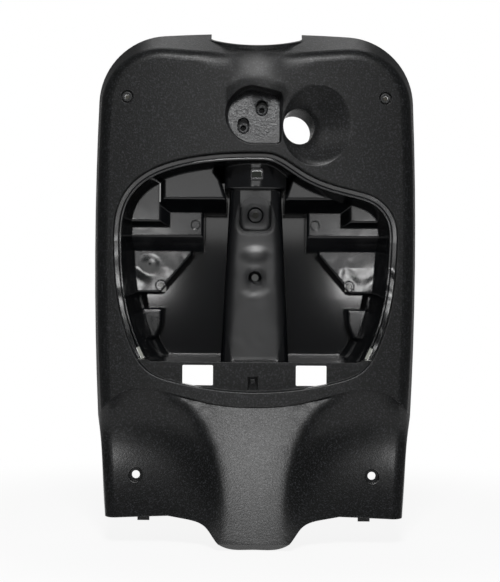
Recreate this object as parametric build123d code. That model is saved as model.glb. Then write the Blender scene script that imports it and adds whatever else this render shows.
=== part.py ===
from build123d import *
from math import exp, hypot, pi, radians, sin, tan
import os

# Inner leg shield of a scooter with its glove box tub, in millimetres.
# X is to the rider's right, Z is up along the panel, and Y runs from the rider to the front of the scooter.
# Everything is drawn with Y = 0 on the middle of the face and Z = 0 at the upper screw of the steering column
# cover. At the end it is moved so that the origin is midway between that cover's two screw seats.

# Mouldings
wall = 2.6
rim_depth = 35.0
face_crown = 10.0
face_bow_radius = 3000.0
face_edge_radius = 16.0

# Front-view outline of the upper panel where it meets the face, and how it grows towards the rear rim
panel_half_width = 186.7
panel_half_width_top = 179.0
panel_half_width_low = 181.0
panel_widest_z = -60.0
panel_top_middle = 192.5
panel_top_end = 203.0
panel_low = -262.0
corner_radius = 72.0
rim_flare = 9.0
rim_rise_middle = 29.0
rim_rise_end = 9.0
rim_corner_growth = 13.0

# Long shallow hollow that leads up the middle of the face to the notch
saddle_radius = 120.0
saddle_low_z = 150.0
saddle_lean = 0.113

# Foot section: two scooped wells under an arched crease, with a flat spine between them
arch_middle_z = -232.0
hump_x = 138.0
hump_rise = 21.5
hump_shape = 1.25
hump_fall = 0.0125
arch_reach = 208.0
crease_step = 1.6
well_depth = 24.0
well_slope = 0.8
well_start_z = -240.0
well_curve = 0.005
spine_slope = 0.35
spine_curve = 0.00105
spine_nose_z = -383.0
nose_slope = 0.67
spine_half_width = 34.0
spine_flare = 50.0
spine_flare_length = 50.0
spine_edge_softness = 0.25
flank_width = 28.0
foot_half_width = 189.5
foot_widest_z = -235.0
foot_taper = 0.04
foot_taper_curve = 0.00045
foot_side_radius = 14.0
foot_front_margin = 4.0
foot_rear_flare = 7.0
foot_rear_y = 60.0
foot_wall_gain = 1.15
foot_edge_z = -356.0
# Lower edge from the middle to one side, as x and height over foot_edge_z
foot_edge = [(0, -35), (30, -33.5), (43, -25), (56, -10), (77.5, -3), (100, 0)]
foot_corner_drop = 5.0
foot_top_z = -200.0
foot_end_z = -400.0
# Heights at which the foot section's plan view is drawn between its top and its nose
foot_stations = [-225, -245, -265, -285, -310, -335, -360]
# The inside of the panel stops above the crease by this share of the wall, and the inside of the foot section
# by the second share, so that the two run into each other. Near the ends it drops to a wall below the crease.
panel_inside_lift = 0.5
foot_inside_lift = 1.2
arch_end_x = 160.0
arch_end_blend = 15.0
rim_bend_z = -245.0
rim_lean = 0.29

# Glove box opening, as a clockwise run of x and z in two halves, and the hinge strip across its foot
opening_upper = [
    (-150, -156.5), (-165, -104), (-170.6, -40), (-168, 0), (-158, 25), (-139, 45), (-109, 60), (-66, 69.8),
    (0, 74), (22, 72), (42, 62), (62, 49), (88, 37.5), (120, 29), (150, 17.5), (167, -4), (170.6, -40),
    (165, -104), (150, -156.5),
]
opening_lower = [(130, -188), (95, -202.5), (0, -214), (-95, -202.5), (-130, -188)]
opening_edge_radius = 1.8
ledge_depth = 13.0
strip_top_z = -179.0
strip_end_z = -176.0
strip_gap = 0.4
hinge_window_middle = 68.5
hinge_window_width = 37.0
hinge_window_top = -182.6
hinge_window_bottom = -207.0
hinge_window_corner = 1.5
# Pocket in the strip: x of its middle, width, top and bottom
strip_pocket = (-1.8, 11.6, -196.5, -213.0)
strip_pocket_depth = 14.0

# Hook recess
hook_arc_middle_x = -36.6
hook_arc_x = -6.0
hook_right_x = 30.0
hook_bottom_z = 84.0
hook_middle_z = 118.0
hook_top_z = 154.0
hook_corner_z = 145.5
hook_corner_radius = 4.0
hook_foot_radius = 1.5
hook_depth_bottom = 7.0
hook_depth_top = 17.0
hook_draft = 12.0
hook_arc_top_shift = 2.0
hook_right_lean = 1.5
hook_screws = [(6.8, 125.7), (-15.4, 103.8)]
hook_pocket_width = 14.0
hook_pocket_rise = 5.4
hook_pocket_depth = 11.0
hook_tube_diameter = 11.4
hook_tube_drop = 3.0
hook_hole_diameter = 6.6
hook_hole_depth = 16.0

# Lock bore and the shallow dish beside it, which narrows from the face to its end
lock_x = 53.5
lock_z = 107.5
lock_radius = 20.4
lock_turn = 15.0
lock_lift = 14.0
lock_end_depth = 28.0
dish_depth = 14.0
# Ovals of the dish at the face and at its end: x and z of the middle, half width and half height
dish_mouth = (77.0, 102.0, 44.0, 47.0)
dish_end = (62.0, 104.0, 10.0, 12.0)

# Screw places in the panel
upper_screw_x = 155.4
upper_screw_z = 139.9
upper_counterbore = 15.0
upper_seat = 12.0
upper_hole = 5.6
upper_seat_drop = 1.2
upper_groove = 3.0
lower_screw_x = 141.6
lower_screw_z = -314.0
lower_counterbore = 16.8
lower_hole = 9.6
lower_seat_depth = 8.0

# Notch for the steering column in the top flange, with an upturned lip along its curved front
notch_half_width = 55.0
notch_front_y = 6.0
notch_side_y = 26.0
notch_lip_z = 203.3
notch_lip_slope = 0.485
notch_low_z = 193.0

# Locating tabs under the foot section
tab_x = 130.0
tab_width = 14.0
tab_drop = 5.0
tab_y = -30.0

# Tub
tub_wall = 2.2
tub_depth = 130.0
groove_width = 5.5
bead_width = 4.0
bead_rise = 4.5
bead_edge_radius = 1.2
mouth_inset = groove_width + bead_width
tub_foot_half_width = 137.5
tub_draft_inset = 17.0
tub_floor_z_rear = -174.5
tub_corner_radius = 8.0
flange_overlap = 5.0
flange_end_z = -175.5
# Slots beside the strip: x and z of the middle, width and length
slot_place = (138.1, -168.0)
slot_size = (4.4, 14.5)
slot_tilt = 25.4
slot_depth = 40.0
# Stepped pads, each with the depth of its front. Pad a: inner and outer x, and low edge
pad_a_depth = 45.0
pad_b_depth = 55.0
pad_c_depth = 66.0
pad_d_depth = 80.0
pad_e_depth = 96.0
pad_a = (35.0, 113.0, 20.5)
# Inner edge of pad a beside the collar, as x and z
pad_a_edge = [(36.0, 20.5), (44.0, 46.0), (50.0, 54.0)]
# Inner x and low edge
pad_b = (118.0, -7.0)
# Inner x, x where its arm starts, its top, the arm's top and the low edge
pad_c = (64.0, 106.0, 4.0, -14.5, -24.7)
# Inner x at the top and at the foot, top and low edge
pad_d = (78.0, 119.7, -43.7, -97.0)
# Inner edge as x and z
pad_e = [(116.0, -115.0), (117.0, -136.0), (124.0, -154.0)]
pad_edge_radius = 4.0
# Ridge round the steering column at its two ends: z, depth of the front and half width
column_top = (60.0, 38.0, 30.0)
column_foot = (-186.0, 16.0, 42.0)
column_crown = 3.0
column_corner_radius = 14.0
collar_half_width = 38.0
collar_low_z = 31.0
collar_front = 27.0
# Latch window: x and z of the middle, width and height. Its frame: width and height
latch_window = (1.5, 49.5, 11.5, 8.0)
latch_frame = (16.0, 14.6)
latch_frame_proud = 1.4
latch_frame_corner = 3.0
latch_window_corner = 1.5
collar_sag = 16.0
collar_edge_radius = 4.0
flat_half_width = 19.4
flat_low_z = -19.5
flat_depth = 38.0
flat_corner_radius = 9.0
column_counterbore = 20.0
column_seat = 15.7
column_seat_y = 40.0
column_seat_groove = 3.0
column_hole = 8.4
lower_column_z = -76.5
lower_column_counterbore = 16.0
# Screw places in pads c and d: x, z and width of the sunk round
pad_c_screw = (74.3, -11.0, 11.0)
pad_d_screw = (117.8, -86.6, 13.0)
pad_sink = 2.0
pad_hole = 5.6

# Screws that hold the tub's flange to the shield
tub_screw_places = [(-125, 66), (-55, 81), (123, 39.5), (160, -151), (-160, -151)]
ear_radius = 8.0
boss_radius = 4.6
screw_core_radius = 1.5
pilot_clearance = 0.1
pilot_short = 2.0
screw_hole_clearance = 0.7
screw_head_radius = 3.8
screw_head_height = 2.6
screw_length = 8.0
screw_slot_width = 1.0
screw_slot_floor = 1.4

# How far shapes that cut or bound others reach past the part
past_side = 230.0
past_rear = 120.0
face_swing = 6.5


def at_depth(sketch, y):
    # Puts a front-view sketch at depth y.
    return Plane.XZ.offset(-y) * sketch


def prism(sketch, y_near, y_far):
    # Front-view sketch pushed from y_near to y_far.
    return extrude(at_depth(sketch, y_near), amount=y_near - y_far)


def tapered(sketch_near, y_near, sketch_far, y_far):
    return loft([at_depth(sketch_near, y_near), at_depth(sketch_far, y_far)], ruled=True)


def across(points, x_from, x_to):
    # Side-view outline of (y, z) points pushed along X.
    face = Plane.YZ.offset(x_from) * make_face(Polyline(*points, close=True))
    return extrude(face, amount=x_to - x_from)


def rod(x, z, radius, y_near, y_far):
    return prism(Pos(x, z) * Circle(radius), y_near, y_far)


def smooth(u):
    u = min(max(u, 0.0), 1.0)
    return u * u * (3 - 2 * u)


def both_sides(shape):
    return shape + mirror(shape, about=Plane.YZ)


def grown(points, amount):
    # Closed run of outline points moved outwards, each along its own normal. The run is clockwise.
    moved = []
    for i, (x, z) in enumerate(points):
        x0, z0 = points[i - 1]
        x1, z1 = points[(i + 1) % len(points)]
        length = hypot(x1 - x0, z1 - z0)
        moved.append((x - amount * (z1 - z0) / length, z + amount * (x1 - x0) / length))
    return moved


def opening(amount=0.0):
    return make_face(Spline(*grown(opening_upper + opening_lower, amount), periodic=True))


# Upper panel
def panel_outline(t, inset):
    # Outline at the face for t = 0 and at the rear rim for t = 1.
    side = rim_flare * t - inset
    middle = panel_top_middle + rim_rise_middle * t - inset
    end = panel_top_end + rim_rise_end * t - inset
    top, wide, low = panel_half_width_top + side, panel_half_width + side, panel_half_width_low + side
    right = ThreePointArc((low, panel_low), (wide, panel_widest_z), (top, end))
    over = ThreePointArc((top, end), (0, middle), (-top, end))
    left = ThreePointArc((-top, end), (-wide, panel_widest_z), (-low, panel_low))
    face = make_face([right, over, left, Line((-low, panel_low), (low, panel_low))])
    return fillet(face.vertices().sort_by(Axis.Y)[-2:], corner_radius + rim_corner_growth * t - inset)


def face_slab(y_middle):
    # Everything behind the crowned and bowed face.
    far, back = past_side, past_rear
    edge = y_middle + face_crown * (far / panel_half_width) ** 2
    section = make_face(
        [
            ThreePointArc((-far, edge), (0, y_middle), (far, edge)),
            Polyline((far, edge), (far, back), (-far, back), (-far, edge)),
        ]
    )
    axis = Axis((0, -face_bow_radius, 0), (1, 0, 0))
    return revolve(section, axis, 2 * face_swing).rotate(axis, -face_swing)


def face_y(x, z):
    return face_crown * (x / panel_half_width) ** 2 - z * z / (2 * face_bow_radius)


def arch_z(x):
    # Height of the crease over the foot wells.
    x = abs(x)
    if x > hump_x:
        return arch_middle_z + hump_rise - hump_fall * (x - hump_x) ** 2
    return arch_middle_z + hump_rise * sin(pi / 2 * (x / hump_x) ** hump_shape) ** 2


def below_arch(rise, end_rise):
    # Everything under the crease, which is raised by rise and at its ends by end_rise.
    points = []
    for step in range(-8, 9):
        x = step * arch_reach / 8
        to_end = smooth((abs(x) - arch_end_x) / arch_end_blend)
        points.append((x, arch_z(x) + rise + (end_rise - rise) * to_end))
    low = foot_end_z - 20
    rest = Polyline(points[-1], (arch_reach, low), (-arch_reach, low), points[0])
    return prism(make_face([Spline(*points), rest]), -150, 150)


def upper_block(inset):
    near, far = -12.0, rim_depth + 8.0 + inset
    tray = tapered(panel_outline(near / rim_depth, inset), near, panel_outline(far / rim_depth, inset), far)
    block = tray & face_slab(inset)
    face = block.faces().sort_by(Axis.Y)[0]
    edges = [e for e in face.outer_wire().edges() if e.center().Z > panel_low + 20]
    lift = panel_inside_lift * inset
    return fillet(edges, face_edge_radius - inset) - below_arch(lift, lift)


# Foot section
def spine_y(z):
    down = arch_middle_z - z
    return face_y(0, arch_middle_z) + crease_step - spine_slope * down - spine_curve * down * down


def well_y(x, z):
    # Scooped back under the crease, then forward again to the floor.
    down = arch_z(x) - z
    scoop = well_slope * down
    if down > 0:
        scoop = well_depth * (1 - exp(-well_slope * down / well_depth))
    return face_y(x, arch_z(x)) + crease_step + scoop - well_curve * max(0.0, well_start_z - z) ** 2


def spine_edge(z):
    return spine_half_width + spine_flare * exp(-max(0.0, arch_middle_z - z) / spine_flare_length)


def foot_y(x, z):
    past = (abs(x) - spine_edge(z)) / flank_width
    past = (past + hypot(past, spine_edge_softness)) / 2
    return spine_y(z) + (well_y(x, z) - spine_y(z)) * (1 - exp(-past))


def foot_section(z, inset):
    # Plan-view section. Each point of the front is moved inwards along its own normal.
    below = foot_widest_z - z
    half = foot_half_width - foot_taper * below - foot_taper_curve * below * abs(below) - inset
    edge, limit = spine_edge(z), half - foot_front_margin
    xs = [0, edge * 0.55] + [edge + flank_width * k for k in (-0.45, -0.15, 0.15, 0.5, 1.0, 1.8)]
    xs += [xs[-1] + (limit - xs[-1]) * k for k in (0.33, 0.67, 1.0)]
    right = []
    for x in xs:
        slope = (foot_y(x + 0.1, z) - foot_y(x - 0.1, z)) / 0.2
        length = hypot(1, slope)
        right.append((x - inset * slope / length, foot_y(x, z) + inset * foot_wall_gain / length))
    points = [(-x, y) for x, y in reversed(right[1:])] + [(0, right[0][1])] + right[1:]
    rear, rear_y = half + foot_rear_flare, foot_rear_y + inset
    back = Polyline(points[-1], (rear, rear_y), (-rear, rear_y), points[0])
    return Plane.XY.offset(z) * make_face([Spline(*points), back])


def foot_outline(inset):
    # Front view: straight under the wells, dipping round the end of the spine.
    points = [(-x, foot_edge_z + z + inset) for x, z in reversed(foot_edge[1:])]
    points += [(x, foot_edge_z + z + inset) for x, z in foot_edge]
    low = foot_edge_z - foot_corner_drop + inset
    rest = Polyline(
        points[-1], (arch_reach, low), (arch_reach, foot_top_z), (-arch_reach, foot_top_z), (-arch_reach, low),
        points[0],
    )
    return make_face([Spline(*points), rest])


def nose_cut(inset):
    # Everything under the end of the spine, which is cut off aslant.
    y, z = spine_y(spine_nose_z), spine_nose_z + inset * hypot(1, nose_slope)
    ends = [(y - 40, z + 40 * nose_slope), (y + 90, z - 90 * nose_slope), (y + 90, -480), (y - 40, -480)]
    return across(ends, -120, 120)


def foot_block(inset):
    stations = [foot_top_z, *foot_stations, spine_nose_z, foot_end_z]
    block = loft([foot_section(z, inset) for z in stations])
    side = [e for e in block.edges() if abs(e.center().X) > 150 and e.length > 150 and e.center().Y < 30]
    block = fillet(side, foot_side_radius - inset) & prism(foot_outline(inset), -140, 70)
    # The foot section is wider than the panel, so the inside ends a wall lower there.
    return (block & below_arch(foot_inside_lift * inset, -inset)) - nose_cut(inset)


# Features that are sunk into the face, each with a clearance that grows it for the inside of the wall
def hook_recess(grow):
    bottom, top = (hook_arc_x, hook_bottom_z), (hook_arc_x + hook_arc_top_shift, hook_top_z)
    arc = ThreePointArc(bottom, (hook_arc_middle_x, hook_middle_z), top)
    corner = (hook_right_x + hook_right_lean, hook_corner_z)
    outline = make_face([arc, Polyline(top, corner, (hook_right_x, hook_bottom_z), bottom)])
    outline = fillet(outline.vertices().sort_by(Axis.X)[-1], hook_corner_radius)
    outline = fillet(outline.vertices().sort_by_distance((hook_right_x, hook_bottom_z))[0], hook_foot_radius)
    start = -20.0
    mouth = offset(outline, grow - start * tan(radians(hook_draft)))
    sunk = extrude(at_depth(mouth, start), amount=-60.0, taper=hook_draft)
    y_low, y_high = hook_depth_bottom + grow, hook_depth_top + grow
    slope = (y_high - y_low) / (hook_top_z - hook_bottom_z)
    front = across([(-40, 40), (y_low - slope * 44, 40), (y_high + slope * 46, 200), (-40, 200)], -60, 60)
    return sunk & front


def lock_axis(depth):
    # Point on the lock's axis at a depth behind the face.
    return (lock_x - depth * tan(radians(lock_turn)), depth, lock_z - depth * tan(radians(lock_lift)))


def lock_bore(grow, near, far):
    start, end = lock_axis(near), lock_axis(far)
    direction = Vector(*end) - Vector(*start)
    return extrude(Plane(start, z_dir=direction) * Circle(lock_radius + grow), amount=direction.length)


def lock_dish(grow):
    # Ruled from an oval in front of the face, through its mouth there, to its end.
    front = [2 * mouth - end for mouth, end in zip(dish_mouth, dish_end)]
    ovals = [Pos(x, z) * Ellipse(a, b) for x, z, a, b in (front, dish_end)]
    return tapered(ovals[0], grow - dish_depth, ovals[1], grow + dish_depth)


def saddle(grow):
    axis = Vector(0, saddle_lean, 1)
    start = Vector(0, face_y(0, saddle_low_z) - saddle_radius, saddle_low_z) - axis * 100
    from_end = (Align.CENTER, Align.CENTER, Align.MIN)
    return Plane(start, z_dir=axis) * Cylinder(saddle_radius + grow, 300, align=from_end)


def pill(x, z, radius, rise):
    # Upright slot whose lower end is centred on x, z.
    return Pos(x, z + rise / 2) * SlotOverall(rise + 2 * radius, 2 * radius, rotation=90)


def hook_floor_y(z):
    share = (z - hook_bottom_z) / (hook_top_z - hook_bottom_z)
    return hook_depth_bottom + (hook_depth_top - hook_depth_bottom) * share


def notch_outline(grow):
    # Plan view, open to the rear.
    half, side, back = notch_half_width + grow, notch_side_y - grow, rim_depth + 20
    front = ThreePointArc((-half, side), (0, notch_front_y - grow), (half, side))
    return make_face([front, Polyline((half, side), (half, back), (-half, back), (-half, side))])


def notch_lip():
    band = extrude(Plane.XY.offset(notch_low_z) * (notch_outline(wall) - notch_outline(0)), amount=80)
    start, end = (notch_lip_z + notch_lip_slope * (y - notch_front_y) for y in (0, rim_depth))
    return band & across([(0, 100), (0, start), (rim_depth, end), (rim_depth, 100)], -100, 100)


def hinge_strip():
    strip = opening(wall / 2) & Pos(0, strip_end_z - 50) * Rectangle(320, 100)
    strip -= tub_outline(mouth_inset, strip_top_z)
    height = hinge_window_top - hinge_window_bottom
    for side in (-1, 1):
        place = Pos(side * hinge_window_middle, (hinge_window_top + hinge_window_bottom) / 2)
        strip -= place * RectangleRounded(hinge_window_width, height, hinge_window_corner)
    back = ledge_depth - strip_gap
    x, width, top, bottom = strip_pocket
    pocket = Pos(x, (top + bottom) / 2)
    plate = prism(strip, back - wall, back)
    deep = back + strip_pocket_depth
    plate += prism(pocket * Rectangle(width + 2 * wall, top - bottom + 2 * wall), back - wall, deep)
    plate -= prism(pocket * Rectangle(width, top - bottom), back - wall, deep - wall)
    catch = Pos(x, top - width / 2) * Rectangle(width / 2, width / 2)
    return plate + prism(catch, back - wall / 2, deep - wall / 2)


def leg_shield():
    outer = upper_block(0) + foot_block(0)
    outer -= prism(opening(), -40, 70)
    rims = [e for e in outer.edges() if e.length > 900 and e.center().Y < 30]
    rims = [e for e in rims if abs(e.center().X) < panel_half_width and e.bounding_box().min.Z > arch_middle_z]
    outer = fillet(rims, opening_edge_radius)
    outer -= [saddle(0), hook_recess(0), lock_dish(0)]

    # What is left standing inside the wall: collars round openings, backs of sunk places and solid bosses
    upper_seat_y = face_y(upper_screw_x, upper_screw_z) + upper_seat_drop
    lower_seat_y = foot_y(lower_screw_x, lower_screw_z) + lower_seat_depth
    standing = [prism(opening(wall), -40, ledge_depth), saddle(wall), hook_recess(wall), lock_dish(wall)]
    standing.append(lock_bore(wall, -20, lock_end_depth))
    for x, z in tub_screw_places:
        standing.append(rod(x, z, boss_radius, -40, ledge_depth))
    for x, z in hook_screws:
        slot = pill(x, z, hook_pocket_width / 2 + wall, hook_pocket_rise)
        standing.append(prism(slot, -40, hook_floor_y(z) + hook_pocket_depth + wall))
        standing.append(rod(x, z, hook_tube_diameter / 2, -40, hook_floor_y(z) + hook_hole_depth + wall))
    foot_standing = []
    for side in (-1, 1):
        x, radius = side * upper_screw_x, upper_counterbore / 2 + wall
        standing.append(rod(x, upper_screw_z, radius, -40, upper_seat_y + upper_groove + wall))
        x, radius = side * lower_screw_x, lower_counterbore / 2 + wall
        foot_standing.append(rod(x, lower_screw_z, radius, -80, lower_seat_y + wall))
    shield = outer - (upper_block(wall) - standing) - (foot_block(wall) - foot_standing)

    # The rear rim is level behind the panel and leans to the rider behind the foot section.
    lean_end = rim_depth - rim_lean * (rim_bend_z + 430)
    rim = [(rim_depth, 260), (rim_depth, rim_bend_z), (lean_end, -430), (200, -430), (200, 260)]
    rear = across(rim, -past_side, past_side)

    # Wide cuts come first, then what stands in them, then the holes through both.
    notch = extrude(Plane.XY.offset(notch_low_z) * notch_outline(0), amount=80)
    cuts = [rear, lock_bore(0, -60, 60), notch]
    adds = [hinge_strip(), notch_lip()]
    holes = []
    for side in (-1, 1):
        x = side * upper_screw_x
        cuts.append(rod(x, upper_screw_z, upper_counterbore / 2, -40, upper_seat_y + upper_groove))
        adds.append(rod(x, upper_screw_z, upper_seat / 2, upper_seat_y, upper_seat_y + upper_groove))
        holes.append(rod(x, upper_screw_z, upper_hole / 2, -40, 60))
        x = side * lower_screw_x
        cuts.append(rod(x, lower_screw_z, lower_counterbore / 2, -80, lower_seat_y))
        holes.append(rod(x, lower_screw_z, lower_hole / 2, -80, 60))
        tab = Pos(side * tab_x, foot_edge_z - 1 - tab_drop / 2) * Rectangle(tab_width, tab_drop + 4)
        adds.append(prism(tab, tab_y, tab_y + wall))
    for x, z in hook_screws:
        floor = hook_floor_y(z)
        pocket = pill(x, z, hook_pocket_width / 2, hook_pocket_rise)
        cuts.append(prism(pocket, -40, floor + hook_pocket_depth))
        adds.append(rod(x, z, hook_tube_diameter / 2, floor + hook_tube_drop, floor + hook_pocket_depth))
        holes.append(rod(x, z, hook_hole_diameter / 2, -40, floor + hook_hole_depth))
    pilot_radius = screw_core_radius + pilot_clearance
    for x, z in tub_screw_places:
        holes.append(rod(x, z, pilot_radius, ledge_depth - screw_length + pilot_short, ledge_depth))
    return shield - cuts + adds - holes


# Tub
def tub_outline(inset, floor_z):
    upper = grown(opening_upper + opening_lower, -inset)[: len(opening_upper)]
    foot = tub_foot_half_width - inset
    left, right = (-foot, floor_z), (foot, floor_z)
    face = make_face([Spline(left, *upper, right), Line(right, left)])
    return fillet(face.vertices().sort_by(Axis.Y)[:2], tub_corner_radius)


def tub_body(grow, near, far):
    faces = []
    for y in (near, far):
        share = (y - ledge_depth) / (tub_depth - ledge_depth)
        floor_z = strip_top_z + (tub_floor_z_rear - strip_top_z) * share
        faces.append((tub_outline(mouth_inset + tub_draft_inset * share - grow, floor_z - grow), y))
    return tapered(faces[0][0], faces[0][1], faces[1][0], faces[1][1])


def upright(points, z_from, z_to):
    # Plan-view outline of (x, y) points pushed along Z.
    face = Plane.XY.offset(z_from) * make_face(Polyline(*points, close=True))
    return extrude(face, amount=z_to - z_from)


def pads(shrink):
    # Stepped blocks at the back of the tub, right of the column. They step away from the rider going down.
    deep, high, far = tub_depth + 40.0, 110.0, 220.0
    y_a, y_b, y_c, y_d = (y + shrink for y in (pad_a_depth, pad_b_depth, pad_c_depth, pad_d_depth))
    a_in, a_out, a_low = pad_a[0] + shrink, pad_a[1] - shrink, pad_a[2] + shrink
    b_in, b_low = pad_b[0] + shrink, pad_b[1] + shrink
    c_in, c_out = pad_c[0] + shrink, pad_c[1] + shrink
    c_top, arm_top, c_low = (z + shrink for z in pad_c[2:])
    d_in, d_foot, d_top, d_low = pad_d

    side = across([(y_a, high), (y_a, a_low), (y_c, c_top), (deep, c_top), (deep, high)], a_in, far)
    a = side & upright([(a_in, y_a), (a_out, y_a), (b_in, y_b), (b_in, deep), (a_in, deep)], -200, high)
    edge = [(x + shrink, z) for x, z in pad_a_edge]
    edge = [(edge[0][0], -200)] + edge + [(edge[-1][0], high), (far, high), (far, -200)]
    a &= prism(make_face(Polyline(*edge, close=True)), 0, deep)
    side = across([(y_b, high), (y_b, b_low), (y_c, arm_top), (deep, arm_top), (deep, high)], c_out, far)
    b = side & upright([(b_in, y_b), (c_out, y_c), (c_out, deep), (far, deep), (far, y_b)], -200, high)
    step_z = d_top + shrink
    c = across([(y_c, high), (y_c, c_low), (y_d, step_z), (deep, step_z), (deep, high)], c_in, far)
    front = Polyline((d_in, high), (d_in, d_top - 4), (d_foot, d_low), (far, d_low), (far, high), close=True)
    d = prism(offset(make_face(front), -shrink), y_d, deep)
    edge = Polyline(*pad_e, (far, pad_e[-1][1]), (far, pad_e[0][1]), close=True)
    e = prism(offset(make_face(edge), -shrink), pad_e_depth + shrink, deep)
    return a, b, c, d, e


def column_section(z, front, half, shrink):
    # Plan-view section of the ridge round the steering column: a crowned front with rounded corners.
    half, front, back = half - shrink, front + shrink, tub_depth + 50.0
    nose = ThreePointArc((-half, front + column_crown), (0, front), (half, front + column_crown))
    rest = Polyline((half, front + column_crown), (half, back), (-half, back), (-half, front + column_crown))
    face = make_face([nose, rest])
    return Plane.XY.offset(z) * fillet(face.vertices().sort_by(Axis.Y)[:2], column_corner_radius - shrink)


def column(shrink):
    ridge = loft([column_section(*end, shrink) for end in (column_foot, column_top)], ruled=True)
    flat = Pos(0, flat_low_z + 50) * RectangleRounded(2 * flat_half_width, 100, flat_corner_radius)
    ridge -= prism(offset(flat, shrink), -20, flat_depth + shrink)
    half, front, back = collar_half_width - shrink, collar_front + shrink, tub_depth + 50.0
    nose = ThreePointArc((-half, front + collar_sag), (0, front), (half, front + collar_sag))
    rest = Polyline((half, front + collar_sag), (half, back), (-half, back), (-half, front + collar_sag))
    collar = extrude(Plane.XY.offset(collar_low_z + shrink) * make_face([nose, rest]), amount=120)
    lower = collar.faces().sort_by(Axis.Z)[0].edges().sort_by(Axis.Y)[0]
    return ridge, fillet(lower, collar_edge_radius)


def glove_box_tub():
    blocks = [fillet(block.faces().sort_by(Axis.Y)[0].edges(), pad_edge_radius) for block in pads(0)]
    standing = [both_sides(block) for block in blocks] + list(column(0))
    cavity = tub_body(0, ledge_depth - bead_rise - 1, tub_depth) - standing

    # The blocks and the column are hollow from behind, with bosses left round the screw places.
    seat_floor = column_seat_y + column_seat_groove
    cx, cz, c_wide = pad_c_screw
    dx, dz, d_wide = pad_d_screw
    boss_end = seat_floor + tub_wall
    bosses = [rod(0, 0, column_counterbore / 2 + tub_wall, -20, boss_end)]
    bosses.append(rod(0, lower_column_z, lower_column_counterbore / 2 + tub_wall, -20, boss_end))
    cuts = [rod(0, 0, column_counterbore / 2, 0, seat_floor)]
    cuts.append(rod(0, lower_column_z, lower_column_counterbore / 2, 0, column_seat_y))
    holes = [rod(0, z, column_hole / 2, 0, 100) for z in (0, lower_column_z)]
    for side in (-1, 1):
        bosses.append(rod(side * cx, cz, c_wide / 2 + tub_wall, -20, pad_c_depth + pad_sink + tub_wall))
        bosses.append(rod(side * dx, dz, d_wide / 2 + tub_wall, -20, pad_d_depth + pad_sink + tub_wall))
        cuts.append(rod(side * cx, cz, c_wide / 2, 40, pad_c_depth + pad_sink))
        cuts.append(rod(side * dx, dz, d_wide / 2, 40, pad_d_depth + pad_sink))
        holes.append(rod(side * dx, dz, pad_hole / 2, 40, pad_d_depth + pad_sink + 2 * tub_wall))
        slot = Pos(side * slot_place[0], slot_place[1]) * Rectangle(*slot_size, rotation=-side * slot_tilt)
        holes.append(prism(slot, 0, slot_depth))
    hollows = list(column(tub_wall)) + [both_sides(block) for block in pads(tub_wall)]
    body = tub_body(tub_wall, ledge_depth, tub_depth + tub_wall) - [hollow - bosses for hollow in hollows]

    # Flange behind the shield's rim with ears for the screws, and a raised bead round the mouth
    ring = opening(flange_overlap)
    for x, z in tub_screw_places:
        ring += Pos(x, z) * Circle(ear_radius)
        holes.append(rod(x, z, screw_core_radius + screw_hole_clearance, 0, 30))
    # Both reach into the mouth here and are trimmed with the cavity.
    mouth = tub_outline(mouth_inset + tub_wall, strip_top_z)
    mouth += Pos(0, flange_end_z - 50) * Rectangle(400, 100)
    flange = prism(ring - mouth, ledge_depth, ledge_depth + tub_wall)
    bead = prism(opening(-groove_width) - mouth, ledge_depth - bead_rise, ledge_depth + tub_wall / 2)
    bead = fillet(bead.faces().sort_by(Axis.Y)[0].edges().sort_by(SortBy.LENGTH)[-1], bead_edge_radius)

    # Latch window in the collar, with a raised frame
    x, z, width, height = latch_window
    frame = Pos(x, z) * RectangleRounded(*latch_frame, latch_frame_corner)
    frame = prism(frame, collar_front - latch_frame_proud, collar_front + tub_wall)
    holes.append(prism(Pos(x, z) * RectangleRounded(width, height, latch_window_corner), 0, 80))
    seat = rod(0, 0, column_seat / 2, column_seat_y, seat_floor)
    return body + [flange, bead] - cavity - cuts + [frame, seat] - holes


def tub_screws():
    seat = ledge_depth + tub_wall
    screws = []
    for x, z in tub_screw_places:
        head = rod(x, z, screw_head_radius, seat, seat + screw_head_height)
        slot = Pos(x, z) * Rectangle(screw_slot_width, 2 * screw_head_radius)
        slot = prism(slot, seat + screw_slot_floor, seat + screw_head_height)
        screws.append(head - slot + rod(x, z, screw_core_radius, seat - screw_length, seat))
    return Compound(screws)


os.makedirs("parts", exist_ok=True)
place = Pos(0, -column_seat_y - tub_wall / 2, -lower_column_z / 2)
for make in (leg_shield, glove_box_tub, tub_screws):
    export_step(place * make(), "parts/" + make.__name__ + ".step")
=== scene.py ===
import math

import bpy
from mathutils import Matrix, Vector
from mathutils.bvhtree import BVHTree


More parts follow.
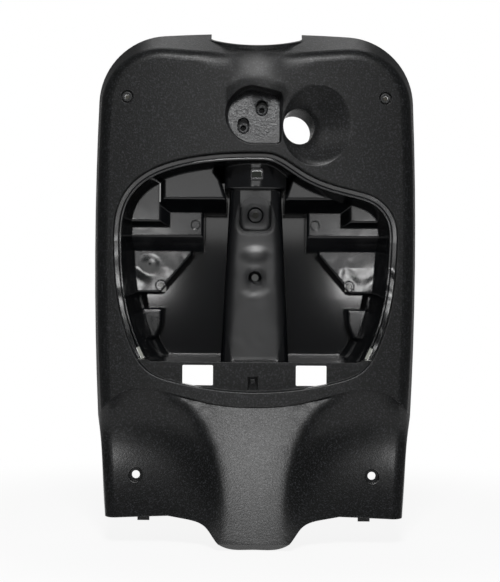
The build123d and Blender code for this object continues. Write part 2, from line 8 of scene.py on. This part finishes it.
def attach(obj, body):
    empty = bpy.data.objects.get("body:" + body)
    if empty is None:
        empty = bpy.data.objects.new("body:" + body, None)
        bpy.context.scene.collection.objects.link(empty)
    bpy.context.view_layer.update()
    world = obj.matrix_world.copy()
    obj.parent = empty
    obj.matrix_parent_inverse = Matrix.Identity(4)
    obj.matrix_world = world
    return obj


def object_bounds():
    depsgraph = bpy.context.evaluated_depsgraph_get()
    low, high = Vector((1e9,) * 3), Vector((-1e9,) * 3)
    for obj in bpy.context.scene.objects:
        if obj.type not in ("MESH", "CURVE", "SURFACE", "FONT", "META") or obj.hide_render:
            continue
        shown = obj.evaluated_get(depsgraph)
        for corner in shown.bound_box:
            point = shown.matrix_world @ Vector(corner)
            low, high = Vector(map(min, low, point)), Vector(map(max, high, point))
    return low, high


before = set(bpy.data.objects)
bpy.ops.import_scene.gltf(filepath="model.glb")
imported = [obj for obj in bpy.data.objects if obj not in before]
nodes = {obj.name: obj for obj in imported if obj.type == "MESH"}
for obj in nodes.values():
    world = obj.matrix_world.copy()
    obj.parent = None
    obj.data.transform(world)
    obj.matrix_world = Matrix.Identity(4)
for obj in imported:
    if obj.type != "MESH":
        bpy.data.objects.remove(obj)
cad_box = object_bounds()
scene = bpy.context.scene
scene.view_settings.view_transform = "Standard"

MM = 0.001

# Regions with a finish of their own: the middle and the reach along x, y and z, in mm
hook_floor, hook_floor_reach = (-4, -28, 156), (36, 9, 36)
lock_dish, lock_dish_reach = (75, -38, 145), (46, 60, 46)
top_hollow, top_hollow_reach = (0, -42, 208), (80, 50, 46)
column, column_reach = (0, -20, -50), (42, 60, 125)

# The gate, through which the tool of the tub was filled, on the left low pad, in mm
gate_x, gate_y, gate_z = -131.6, 38.9, -21.7

# Sink marks: the middle, the reach and the height in mm. One lies round the gate, three on the column.
sink_marks = (
    ((gate_x, gate_y, gate_z), (17, 17, 17), -0.55),
    ((0, -13, -10), (24, 30, 14), 1.3),
    ((0, -16, -52), (22, 30, 15), -1.1),
    ((0, -14, -33), (18, 30, 12), 0.5),
)

# Pips of the tool along the bead round the mouth of the tub: x and z in mm
bead_pip_places = (
    (-101, 94), (-132, 79.5), (-50.5, 102), (99, 65.5), (132, 57.5),
    (162, 19), (160, -38), (149, -98), (-163, 22.5), (-149.5, -98),
)
bead_pip_radius, bead_pip_rise = 0.9, 0.5
gate_stub_radius, gate_stub_rise = 1.6, 0.8

# Floor in metres
floor_radius, floor_middle_y = 0.8, 0.1
floor_rings, floor_steps = 6, 48

# Painted shadow: self-lit cards behind the small holes that stand for the backdrop in the object's shade: x,
# y, z, half width and half height in mm, and the painted shadow tone
painted_shadow_patches = (
    (-157, -18, 181.3, 7, 7, "#4a4944"),
    (157.7, -18, 181.1, 7, 7, "#45433e"),
    (-0.5, 4, 40.5, 7, 7, "#262624"),
    (0, 0, -36.5, 7, 7, "#4c4d4c"),
    (-117.8, 52, -50.4, 6, 6, "#797977"),
    (119.8, 52, -48.6, 6, 6, "#797977"),
    (1.8, 50, 93, 11, 10, "#2c2e2b"),
    (-141, 10, -131.5, 7, 15, "#898a84"),
    (141.5, 10, -132, 7, 15, "#898a84"),
)

# Lamps: place, aim, width and height in metres, and power in watts
lamps = {
    "main": ((0.0, -1.55, 1.1), (0, 0, -0.1), 0.5, 0.45, 28),
    "front": ((0.0, -2.4, 0.26), (0, 0, 0), 0.95, 0.33, 1.9),
    "left_of_camera": ((-0.33, -2.4, 0.0), (-0.13, 0, -0.02), 0.14, 0.13, 1.4),
    "right_of_camera": ((0.33, -2.4, 0.0), (0.13, 0, -0.02), 0.14, 0.13, 1.4),
    "rear": ((0.0, 0.9, 1.7), (0, 0, 0), 1.2, 0.6, 5),
    "rear_fill": ((0.0, 2.6, 0.4), (0, 0, 0), 1.8, 1.2, 22),
}
room_level = 0.12

# Camera: place in mm, roll in degrees, lens and sensor in mm
camera_place = (-6.0, -1841.1, -54.65)
camera_roll = -0.4
camera_lens, camera_sensor = 92.78, 36.0


def linear(colour):
    """sRGB hex to the linear values that shaders take."""
    channels = [int(colour[i:i + 2], 16) / 255 for i in (1, 3, 5)]
    return [c / 12.92 if c <= 0.04045 else ((c + 0.055) / 1.055) ** 2.4 for c in channels] + [1.0]


def add(tree, kind, links=(), **settings):
    """Adds a node. Settings with a leading _ are the node's own, the others are values of its inputs."""
    node = tree.nodes.new(kind)
    for name, value in settings.items():
        if name.startswith("_"):
            setattr(node, name[1:], value)
        else:
            node.inputs[name.replace("_", " ")].default_value = value
    for name, source in dict(links).items():
        tree.links.new(source, node.inputs[name])
    return node


def new_material(name):
    material = bpy.data.materials.new(name)
    material.use_nodes = True
    tree = material.node_tree
    tree.nodes.clear()
    return material, tree


def finish_material(tree, shader):
    add(tree, "ShaderNodeOutputMaterial", {"Surface": shader.outputs[0]})


def around(tree, place, middle, reach):
    """Distance from a middle, counted in reaches along x, y and z, so it is 1 at the reach. Both are in mm."""
    shift = add(tree, "ShaderNodeVectorMath", {0: place}, _operation="SUBTRACT")
    shift.inputs[1].default_value = [c * MM for c in middle]
    scaled = add(tree, "ShaderNodeVectorMath", {0: shift.outputs[0]}, _operation="DIVIDE")
    scaled.inputs[1].default_value = [r * MM for r in reach]
    return add(tree, "ShaderNodeVectorMath", {0: scaled.outputs[0]}, _operation="LENGTH").outputs["Value"]


def grained_polypropylene():
    """Black polypropylene from a spark-eroded tool: a pebbled grain that scatters light and hides gloss."""
    material, tree = new_material("grained_polypropylene")
    place = add(tree, "ShaderNodeTexCoord").outputs["Object"]
    # The real grain is about 0.7 mm. It is drawn at 2 mm, because a pixel of the view covers 1.2 mm.
    fine_width = 2.0 * MM
    # The floor of the hook recess has a coarser grain of about 1.5 mm, drawn at 3 mm.
    coarse_width = 3.0 * MM
    cloud_width = 60 * MM
    fine = add(tree, "ShaderNodeTexNoise", {"Vector": place}, Scale=1 / fine_width, Detail=2.0, Roughness=0.7)
    coarse = add(
        tree, "ShaderNodeTexNoise", {"Vector": place}, Scale=1 / coarse_width, Detail=2.0, Roughness=0.7
    )
    recess = add(
        tree, "ShaderNodeMapRange", {"Value": around(tree, place, hook_floor, hook_floor_reach)},
        From_Min=0.95, From_Max=1.15, To_Min=1.0, To_Max=0.0,
    ).outputs["Result"]
    grain = add(
        tree, "ShaderNodeMix", {"Factor": recess, "A": fine.outputs["Fac"], "B": coarse.outputs["Fac"]}
    ).outputs["Result"]

    # Painted highlight and painted light: the tips of the grain are drawn paler than the ground, where light
    # would catch them, and both are drawn paler on the floor of the recess, which faces up to the lamps.
    painted_tip_highlight = add(tree, "ShaderNodeMapRange", {"Value": grain}, From_Min=0.5, From_Max=0.78).outputs["Result"]
    cloud = add(tree, "ShaderNodeTexNoise", {"Vector": place}, Scale=1 / cloud_width, Detail=3.0)
    body = add(
        tree, "ShaderNodeMix", {"Factor": cloud.outputs["Fac"]},
        _data_type="RGBA", A=linear("#070808"), B=linear("#0b0c0c"),
    )
    tip_highlight_colour = add(
        tree, "ShaderNodeMix", {"Factor": recess},
        _data_type="RGBA", A=linear("#36373a"), B=linear("#545557"),
    )
    # Painted light: the ground is drawn paler on the floor of the recess.
    ground = add(
        tree, "ShaderNodeMix", {"Factor": recess, "A": body.outputs["Result"]},
        _data_type="RGBA", B=linear("#1c1d1f"),
    )
    colour = add(
        tree, "ShaderNodeMix", {"Factor": painted_tip_highlight, "A": ground.outputs["Result"], "B": tip_highlight_colour.outputs["Result"]},
        _data_type="RGBA",
    )

    polish = add(tree, "ShaderNodeMapRange", {"Value": recess}, To_Min=0.30, To_Max=0.24)
    rough = add(tree, "ShaderNodeMapRange", {"Value": grain, "To Max": polish.outputs["Result"]}, To_Min=0.46)
    # The lower flank of the dish round the lock is drawn duller than the face, which makes it look darker.
    dish = around(tree, place, lock_dish, lock_dish_reach)
    in_dish = add(
        tree, "ShaderNodeMapRange", {"Value": dish}, From_Min=0.9, From_Max=1.0, To_Min=1.0, To_Max=0.0
    )
    position = add(tree, "ShaderNodeSeparateXYZ", {"Vector": place})
    lower_half = add(
        tree, "ShaderNodeMapRange", {"Value": position.outputs["Z"]},
        From_Min=115 * MM, From_Max=145 * MM, To_Min=1.0, To_Max=0.0,
    )
    flank = add(
        tree, "ShaderNodeMath", {0: in_dish.outputs["Result"], 1: lower_half.outputs["Result"]},
        _operation="MULTIPLY",
    )
    rough = add(
        tree, "ShaderNodeMapRange", {"Value": flank.outputs[0], "To Min": rough.outputs["Result"]}, To_Max=0.8
    )

    # The hollow under the top notch and the dish run softly into the face, so edges are rounded most there.
    hollow = around(tree, place, top_hollow, top_hollow_reach)
    softest = add(tree, "ShaderNodeMath", {0: hollow, 1: dish}, _operation="MINIMUM")
    rounding = add(
        tree, "ShaderNodeMapRange", {"Value": softest.outputs[0]},
        From_Min=0.6, From_Max=1.0, To_Min=18 * MM, To_Max=1.2 * MM,
    )
    edge = add(tree, "ShaderNodeBevel", {"Radius": rounding.outputs["Result"]}, _samples=6)
    depth = add(tree, "ShaderNodeMapRange", {"Value": recess}, To_Min=0.2 * MM, To_Max=0.6 * MM)
    bump = add(
        tree, "ShaderNodeBump",
        {"Height": grain, "Distance": depth.outputs["Result"], "Normal": edge.outputs["Normal"]},
        Strength=1.0,
    )
    shader = add(
        tree, "ShaderNodeBsdfPrincipled",
        {
            "Base Color": colour.outputs["Result"], "Roughness": rough.outputs["Result"],
            "Normal": bump.outputs["Normal"],
        },
        IOR=1.49, Specular_IOR_Level=0.32,
    )
    finish_material(tree, shader)
    return material


def polished_polypropylene():
    """Black polypropylene from a polished tool: glossy, with slow waves where the wall sank as it cooled."""
    material, tree = new_material("polished_polypropylene")
    place = add(tree, "ShaderNodeTexCoord").outputs["Object"]
    position = add(tree, "ShaderNodeSeparateXYZ", {"Vector": place})
    wave_width = 42 * MM
    smear_width = 9 * MM

    # Heights are in mm. The two low pads sank most, so the waves are deeper there. The deep floor is flat.
    waves = add(
        tree, "ShaderNodeTexNoise", {"Vector": place}, Scale=1 / wave_width, Detail=1.0, Distortion=0.6
    )
    pad_waves = add(
        tree, "ShaderNodeMapRange", {"Value": position.outputs["Z"]},
        From_Min=-25 * MM, From_Max=5 * MM, To_Min=1.6, To_Max=0.35,
    )
    wave_height = add(
        tree, "ShaderNodeMapRange", {"Value": position.outputs["Y"], "To Min": pad_waves.outputs["Result"]},
        From_Min=44 * MM, From_Max=60 * MM, To_Max=0.02,
    )
    height = add(
        tree, "ShaderNodeMath", {0: waves.outputs["Fac"], 1: wave_height.outputs["Result"]},
        _operation="MULTIPLY",
    )
    for middle, reach, rise in sink_marks:
        mark = add(
            tree, "ShaderNodeMapRange", {"Value": around(tree, place, middle, reach)},
            _interpolation_type="SMOOTHERSTEP", To_Min=rise, To_Max=0.0,
        )
        height = add(
            tree, "ShaderNodeMath", {0: height.outputs[0], 1: mark.outputs["Result"]}, _operation="ADD"
        )

    # The column that stands in the middle of the tub is satin and has the roundest edges.
    from_column = around(tree, place, column, column_reach)
    rounding = add(
        tree, "ShaderNodeMapRange", {"Value": from_column},
        From_Min=0.9, From_Max=1.0, To_Min=9 * MM, To_Max=1.8 * MM,
    )
    satin = add(
        tree, "ShaderNodeMapRange", {"Value": from_column}, From_Min=0.9, From_Max=1.0, To_Min=0.24, To_Max=0.0
    )
    smear = add(tree, "ShaderNodeTexNoise", {"Vector": place}, Scale=1 / smear_width, Detail=2.0)
    rough = add(tree, "ShaderNodeMapRange", {"Value": smear.outputs["Fac"]}, To_Min=0.09, To_Max=0.17)
    rough = add(
        tree, "ShaderNodeMath", {0: rough.outputs["Result"], 1: satin.outputs["Result"]}, _operation="ADD"
    )
    # The deep floor is the most polished.
    rough = add(
        tree, "ShaderNodeMapRange", {"Value": position.outputs["Y"], "To Min": rough.outputs[0]},
        From_Min=60 * MM, From_Max=75 * MM, To_Max=0.08,
    )
    edge = add(tree, "ShaderNodeBevel", {"Radius": rounding.outputs["Result"]}, _samples=6)
    bump = add(
        tree, "ShaderNodeBump", {"Height": height.outputs[0], "Normal": edge.outputs["Normal"]},
        Strength=1.0, Distance=MM,
    )
    shader = add(
        tree, "ShaderNodeBsdfPrincipled",
        {"Roughness": rough.outputs["Result"], "Normal": bump.outputs["Normal"]},
        Base_Color=linear("#0b0c0e"), IOR=1.49,
    )
    finish_material(tree, shader)
    return material


def zinc_plated_steel():
    """Bright zinc plating on turned steel: silver grey, softly mottled."""
    material, tree = new_material("zinc_plated_steel")
    place = add(tree, "ShaderNodeTexCoord").outputs["Object"]
    mottle_width = 1.5 * MM
    mottle = add(tree, "ShaderNodeTexNoise", {"Vector": place}, Scale=1 / mottle_width, Detail=2.0)
    rough = add(tree, "ShaderNodeMapRange", {"Value": mottle.outputs["Fac"]}, To_Min=0.25, To_Max=0.45)
    shader = add(
        tree, "ShaderNodeBsdfPrincipled", {"Roughness": rough.outputs["Result"]},
        Base_Color=linear("#b9bbbd"), Metallic=1.0,
    )
    finish_material(tree, shader)
    return material


gloss = polished_polypropylene()
for name, material in (
    ("leg_shield", grained_polypropylene()),
    ("glove_box_tub", gloss),
    ("tub_screws", zinc_plated_steel()),
):
    mesh = nodes[name].data
    mesh.materials.clear()
    mesh.materials.append(material)


def pip_tree():
    """Sets a small domed pip on each point, along the point's facing."""
    tree = bpy.data.node_groups.new("moulding_pips", "GeometryNodeTree")
    tree.interface.new_socket("Geometry", in_out="INPUT", socket_type="NodeSocketGeometry")
    sizes = {
        name: tree.interface.new_socket(name, in_out="INPUT", socket_type="NodeSocketFloat").identifier
        for name in ("Pip radius", "Pip rise")
    }
    tree.interface.new_socket("Geometry", in_out="OUTPUT", socket_type="NodeSocketGeometry")
    given = add(tree, "NodeGroupInput")
    dome = add(tree, "GeometryNodeMeshIcoSphere", Radius=1.0, Subdivisions=2)
    facing = add(tree, "GeometryNodeInputNamedAttribute", _data_type="FLOAT_VECTOR", Name="facing")
    turn = add(tree, "FunctionNodeAlignRotationToVector", {"Vector": facing.outputs["Attribute"]}, _axis="Z")
    size = add(
        tree, "ShaderNodeCombineXYZ",
        {"X": given.outputs["Pip radius"], "Y": given.outputs["Pip radius"], "Z": given.outputs["Pip rise"]},
    )
    pips = add(
        tree, "GeometryNodeInstanceOnPoints",
        {
            "Points": given.outputs["Geometry"], "Instance": dome.outputs["Mesh"],
            "Rotation": turn.outputs["Rotation"], "Scale": size.outputs["Vector"],
        },
    )
    solid = add(tree, "GeometryNodeRealizeInstances", {"Geometry": pips.outputs["Instances"]})
    coated = add(tree, "GeometryNodeSetMaterial", {"Geometry": solid.outputs["Geometry"]}, Material=gloss)
    add(tree, "NodeGroupOutput", {"Geometry": coated.outputs["Geometry"]})
    return tree, sizes


def pips(name, tree, sizes, radius, rise, spots):
    """Pips at spots (x, z) in mm, set on the first surface of the tub met from the front."""
    tub = nodes["glove_box_tub"].data
    surface = BVHTree.FromPolygons([v.co for v in tub.vertices], [p.vertices for p in tub.polygons])
    in_front, rearwards = -1.0, Vector((0, 1, 0))
    hits = [surface.ray_cast(Vector((x * MM, in_front, z * MM)), rearwards) for x, z in spots]
    mesh = bpy.data.meshes.new(name + "_points")
    mesh.from_pydata([hit[0] for hit in hits], [], [])
    facing = mesh.attributes.new("facing", "FLOAT_VECTOR", "POINT")
    for value, hit in zip(facing.data, hits):
        value.vector = hit[1]
    piece = bpy.data.objects.new(name, mesh)
    scene.collection.objects.link(piece)
    modifier = piece.modifiers.new("pips", "NODES")
    modifier.node_group = tree
    modifier[sizes["Pip radius"]] = radius * MM
    modifier[sizes["Pip rise"]] = rise * MM
    done = bpy.data.meshes.new_from_object(piece.evaluated_get(bpy.context.evaluated_depsgraph_get()))
    piece.modifiers.clear()
    piece.data = done
    for face in done.polygons:
        face.use_smooth = True
    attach(piece, "root")


pip_group, pip_sizes = pip_tree()
pips("bead_pips", pip_group, pip_sizes, bead_pip_radius, bead_pip_rise, bead_pip_places)
# The broken-off stub of plastic at the gate.
pips("gate_stub", pip_group, pip_sizes, gate_stub_radius, gate_stub_rise, ((gate_x, gate_z),))


def floor():
    """A round pale floor that keeps the shadow and runs out to white at its rim."""
    low = cad_box[0].z
    verts = [(0.0, floor_middle_y, low)]
    for ring in range(1, floor_rings + 1):
        for step in range(floor_steps):
            out, angle = floor_radius * ring / floor_rings, 2 * math.pi * step / floor_steps
            verts.append((out * math.cos(angle), floor_middle_y + out * math.sin(angle), low))
    steps = [(step, (step + 1) % floor_steps) for step in range(floor_steps)]
    faces = [(0, 1 + i, 1 + j) for i, j in steps]
    for ring in range(floor_rings - 1):
        inner, outer = 1 + ring * floor_steps, 1 + (ring + 1) * floor_steps
        faces += [(inner + i, outer + i, outer + j, inner + j) for i, j in steps]
    mesh = bpy.data.meshes.new("floor")
    mesh.from_pydata(verts, [], faces)
    piece = bpy.data.objects.new("floor", mesh)
    scene.collection.objects.link(piece)

    material, tree = new_material("white_paper_floor")
    paper = add(tree, "ShaderNodeBsdfDiffuse", Color=linear("#f2f2f2"))
    glow = add(tree, "ShaderNodeEmission", Color=linear("#ffffff"), Strength=1.0)
    path = add(tree, "ShaderNodeLightPath")
    seen = add(
        tree, "ShaderNodeMath", {0: path.outputs["Is Camera Ray"], 1: path.outputs["Is Glossy Ray"]},
        _operation="MAXIMUM",
    )
    seen = add(
        tree, "ShaderNodeMath", {0: seen.outputs[0], 1: path.outputs["Is Transmission Ray"]},
        _operation="MAXIMUM",
    )
    place = add(tree, "ShaderNodeTexCoord").outputs["Object"]
    from_middle = around(tree, place, (0, floor_middle_y / MM, low / MM), [floor_radius / MM] * 3)
    share = add(
        tree, "ShaderNodeMapRange", {"Value": from_middle},
        _interpolation_type="SMOOTHSTEP", From_Min=0.4, From_Max=0.97, To_Min=0.88, To_Max=1.0,
    )
    share = add(
        tree, "ShaderNodeMath", {0: seen.outputs[0], 1: share.outputs["Result"]}, _operation="MULTIPLY"
    )
    mix = add(tree, "ShaderNodeMixShader", {0: share.outputs[0], 1: paper.outputs[0], 2: glow.outputs[0]})
    finish_material(tree, mix)
    mesh.materials.append(material)


def painted_shadow_cards():
    """Small self-lit cards behind the small holes, glowing in painted shadow tones that stand for the backdrop
    in the object's shade. They show from the front only.
    """
    corners = ((-1, -1), (1, -1), (1, 1), (-1, 1))
    verts, faces = [], []
    for x, y, z, half_width, half_height, tone in painted_shadow_patches:
        faces.append(tuple(range(len(verts), len(verts) + len(corners))))
        verts += [((x + i * half_width) * MM, y * MM, (z + k * half_height) * MM) for i, k in corners]
    mesh = bpy.data.meshes.new("painted_shadow_cards")
    mesh.from_pydata(verts, [], faces)
    tint = mesh.color_attributes.new("shade", "FLOAT_COLOR", "CORNER")
    for face, card in zip(mesh.polygons, painted_shadow_patches):
        for corner in face.loop_indices:
            tint.data[corner].color = linear(card[-1])
    piece = bpy.data.objects.new("painted_shadow_cards", mesh)
    scene.collection.objects.link(piece)

    material, tree = new_material("self_lit_painted_shadow")
    shade = add(tree, "ShaderNodeAttribute", _attribute_name="shade")
    # Painted shadow: each card glows in its listed shadow tone and takes no shade from the lamps.
    paper = add(tree, "ShaderNodeEmission", {"Color": shade.outputs["Color"]}, Strength=1.0)
    clear = add(tree, "ShaderNodeBsdfTransparent")
    back = add(tree, "ShaderNodeNewGeometry").outputs["Backfacing"]
    mix = add(tree, "ShaderNodeMixShader", {0: back, 1: paper.outputs[0], 2: clear.outputs[0]})
    finish_material(tree, mix)
    mesh.materials.append(material)
    piece.visible_shadow = False
    piece.visible_diffuse = False
    piece.visible_glossy = False


def softbox(name, place, target, width, height, power):
    """A rectangular lamp that the camera doesn't see."""
    lamp = bpy.data.lights.new(name, "AREA")
    lamp.shape = "RECTANGLE"
    lamp.size, lamp.size_y = width, height
    lamp.energy = power
    holder = bpy.data.objects.new(name, lamp)
    scene.collection.objects.link(holder)
    holder.location = place
    holder.rotation_euler = (Vector(target) - Vector(place)).to_track_quat("-Z", "Y").to_euler()
    holder.visible_camera = False


def surroundings():
    """A dim even room. The camera sees it white, and reflections see it white behind the object."""
    world = bpy.data.worlds.new("studio")
    world.use_nodes = True
    scene.world = world
    tree = world.node_tree
    path = add(tree, "ShaderNodeLightPath")
    way = add(tree, "ShaderNodeSeparateXYZ", {"Vector": add(tree, "ShaderNodeTexCoord").outputs["Generated"]})
    behind = add(
        tree, "ShaderNodeMapRange", {"Value": way.outputs["Y"]},
        From_Min=0.85, From_Max=1.0, To_Min=0.0, To_Max=1.0,
    )
    mirrored = add(
        tree, "ShaderNodeMath", {0: path.outputs["Is Glossy Ray"], 1: path.outputs["Is Transmission Ray"]},
        _operation="MAXIMUM",
    )
    mirrored = add(
        tree, "ShaderNodeMath", {0: mirrored.outputs[0], 1: behind.outputs["Result"]}, _operation="MULTIPLY"
    )
    white = add(
        tree, "ShaderNodeMath", {0: path.outputs["Is Camera Ray"], 1: mirrored.outputs[0]},
        _operation="MAXIMUM",
    )
    level = add(tree, "ShaderNodeMapRange", {"Value": white.outputs[0]}, To_Min=room_level, To_Max=1.0)
    background = tree.nodes["Background"]
    background.inputs["Color"].default_value = linear("#ffffff")
    tree.links.new(level.outputs["Result"], background.inputs["Strength"])


floor()
painted_shadow_cards()
surroundings()
for name, settings in lamps.items():
    softbox(name, *settings)

lens = bpy.data.cameras.new("camera")
lens.sensor_fit = "VERTICAL"
lens.sensor_height = camera_sensor
lens.lens = camera_lens
camera = bpy.data.objects.new("camera", lens)
scene.collection.objects.link(camera)
camera.location = [c * MM for c in camera_place]
camera.rotation_euler = (math.radians(90), math.radians(camera_roll), 0)
scene.camera = camera
